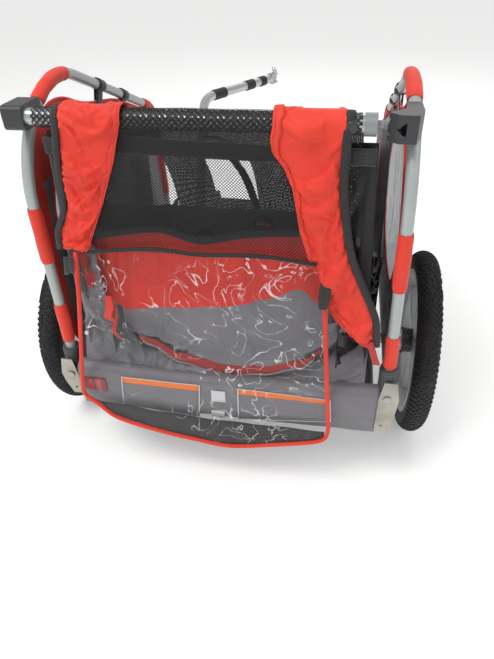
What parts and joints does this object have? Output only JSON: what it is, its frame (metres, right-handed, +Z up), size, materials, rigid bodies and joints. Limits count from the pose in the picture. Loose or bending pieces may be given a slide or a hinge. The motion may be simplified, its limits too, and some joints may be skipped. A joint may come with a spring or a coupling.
{
  "type": "child bicycle trailer",
  "caption": "Two-wheeled child bicycle trailer with folding tube side frames, lift-over crossbar, fabric cover, bench seat and swinging tow arm.",
  "frame": {"origin": "middle of the bounding box at ground level", "axes": "+Y forward in the direction of travel, +Z up, +X the trailer's right"},
  "size_m": [0.862, 1.7264, 0.7747],
  "materials": {
    "frame_tube": "satin silver-grey tube",
    "base_tube": "satin grey tube",
    "bar_tube": "satin",
    "red_fabric": "woven nylon",
    "grey_fabric": "woven nylon",
    "webbing": "woven webbing",
    "mesh": "open mesh",
    "clear_vinyl": "clear, glossy",
    "socket_plastic": "moulded, ribbed",
    "black_plastic": "moulded",
    "zinc": "zinc plated",
    "steel": "turned",
    "bright_steel": "polished",
    "tyre": "block tread",
    "tube_rubber": "smooth",
    "wrap_rubber": "matt",
    "rim_plastic": "silver-grey, moulded",
    "reflector": "prismatic red"
  },
  "bodies": {
    "chassis": {"side_rail_left": "base_tube", "side_rail_right": "base_tube", "rear_cross_tube": "base_tube", "front_cross_tube": "base_tube", "floor_tub": "grey_fabric", "rear_panel": "grey_fabric", "rear_reflector": "reflector", "axle_bracket_left": "zinc", "axle_bracket_right": "zinc", "axle_left": "steel", "axle_right": "steel", "rear_hinge_bracket_left": "zinc", "rear_hinge_bracket_right": "zinc", "front_hinge_bracket_left": "zinc", "front_hinge_bracket_right": "zinc", "hinge_pins": "steel", "seat_sling": "grey_fabric", "seat_harness": "webbing", "storage_pocket": "grey_fabric", "cover_band": "webbing", "cover_screen": "mesh", "cover_window": "clear_vinyl", "cover_wing_left": "red_fabric", "cover_wing_right": "red_fabric", "tow_bracket": "zinc", "tow_bolt": "steel"},
    "left_frame": {"side_loop_left": "frame_tube", "tube_sleeves_left": "red_fabric", "side_panel_left": "grey_fabric", "rear_socket_left": "socket_plastic", "front_socket_left": "socket_plastic"},
    "right_frame": {"side_loop_right": "frame_tube", "tube_sleeves_right": "red_fabric", "side_panel_right": "grey_fabric", "rear_socket_right": "socket_plastic", "front_socket_right": "socket_plastic", "crossbar_block": "black_plastic"},
    "crossbar": {"crossbar_tube": "bar_tube", "crossbar_pad": "webbing", "crossbar_tongue": "bar_tube", "crossbar_pin": "steel", "crossbar_end_block": "black_plastic"},
    "crossbar_knob": {"crossbar_knob": "black_plastic"},
    "left_wheel": {"tyre_left": "tyre", "inner_tube_left": "tube_rubber", "wheel_rim_left": "rim_plastic", "hub_bearings_left": "steel"},
    "right_wheel": {"tyre_right": "tyre", "inner_tube_right": "tube_rubber", "wheel_rim_right": "rim_plastic", "hub_bearings_right": "steel"},
    "left_axle_button": {"axle_button_left": "black_plastic"},
    "right_axle_button": {"axle_button_right": "black_plastic"},
    "tow_arm": {"tow_arm_tube": "bar_tube", "tow_arm_wraps": "wrap_rubber", "tow_eye": "bar_tube", "tow_fork": "steel"},
    "tow_clamp_knob": {"tow_clamp_knob": "black_plastic"},
    "hitch_coupler": {"hitch_coupler": "steel"},
    "hitch_pin": {"hitch_pin": "bright_steel"}
  },
  "joints": [
    {"name": "left_fold", "type": "hinge", "parent": "chassis", "child": "left_frame", "pos_m": [-0.313, -0.80116, 0.225], "axis": [0, 1, 0], "range_deg": [0, 87], "deforming": ["side_panel_left", "side_panel_right", "seat_sling", "seat_harness", "storage_pocket", "cover_band", "cover_screen", "cover_window", "cover_wing_left", "cover_wing_right"]},
    {"name": "right_fold", "type": "hinge", "parent": "chassis", "child": "right_frame", "pos_m": [0.313, -0.82116, 0.257], "axis": [0, -1, 0], "range_deg": [0, 70]},
    {"name": "crossbar_swing", "type": "hinge", "parent": "right_frame", "child": "crossbar", "pos_m": [0.258, -0.81916, 0.731], "axis": [-0.7071, 0.7071, 0], "range_deg": [0, 170.5]},
    {"name": "crossbar_knob_press", "type": "slide", "parent": "crossbar", "child": "crossbar_knob", "axis": [0, 1, 0], "range_m": [0, 0.002], "stiffness_N_per_m": 600},
    {"name": "left_wheel_spin", "type": "hinge", "parent": "chassis", "child": "left_wheel", "pos_m": [-0.389, -0.58316, 0.2], "axis": [1, 0, 0], "continuous": true},
    {"name": "right_wheel_spin", "type": "hinge", "parent": "chassis", "child": "right_wheel", "pos_m": [0.389, -0.58316, 0.2], "axis": [1, 0, 0], "continuous": true},
    {"name": "left_axle_button_press", "type": "slide", "parent": "chassis", "child": "left_axle_button", "axis": [1, 0, 0], "range_m": [0, 0.0035], "stiffness_N_per_m": 400},
    {"name": "right_axle_button_press", "type": "slide", "parent": "chassis", "child": "right_axle_button", "axis": [-1, 0, 0], "range_m": [0, 0.0035], "stiffness_N_per_m": 400},
    {"name": "tow_arm_swing", "type": "hinge", "parent": "chassis", "child": "tow_arm", "pos_m": [-0.27, -0.03916, 0.18], "axis": [0, 0, 1], "range_deg": [-85, 0]},
    {"name": "tow_clamp_knob_turn", "type": "hinge", "parent": "chassis", "child": "tow_clamp_knob", "pos_m": [-0.27, -0.03916, 0.212], "axis": [0, 0, 1], "range_deg": [-90, 180]},
    {"name": "hitch_swivel", "type": "hinge", "parent": "tow_arm", "child": "hitch_coupler", "pos_m": [-0.10567, 0.77116, 0.466], "axis": [0, 0, 1], "range_deg": [-45, 45]},
    {"name": "hitch_pin_slide", "type": "slide", "parent": "tow_arm", "child": "hitch_pin", "axis": [0, 0, 1], "range_m": [0, 0.04]}
  ],
  "couplings": [
    {"joint": "right_fold", "follows": "left_fold", "ratio": 0.8},
    {"joint": "crossbar_swing", "follows": "left_fold", "ratio": 1.954}
  ]
}
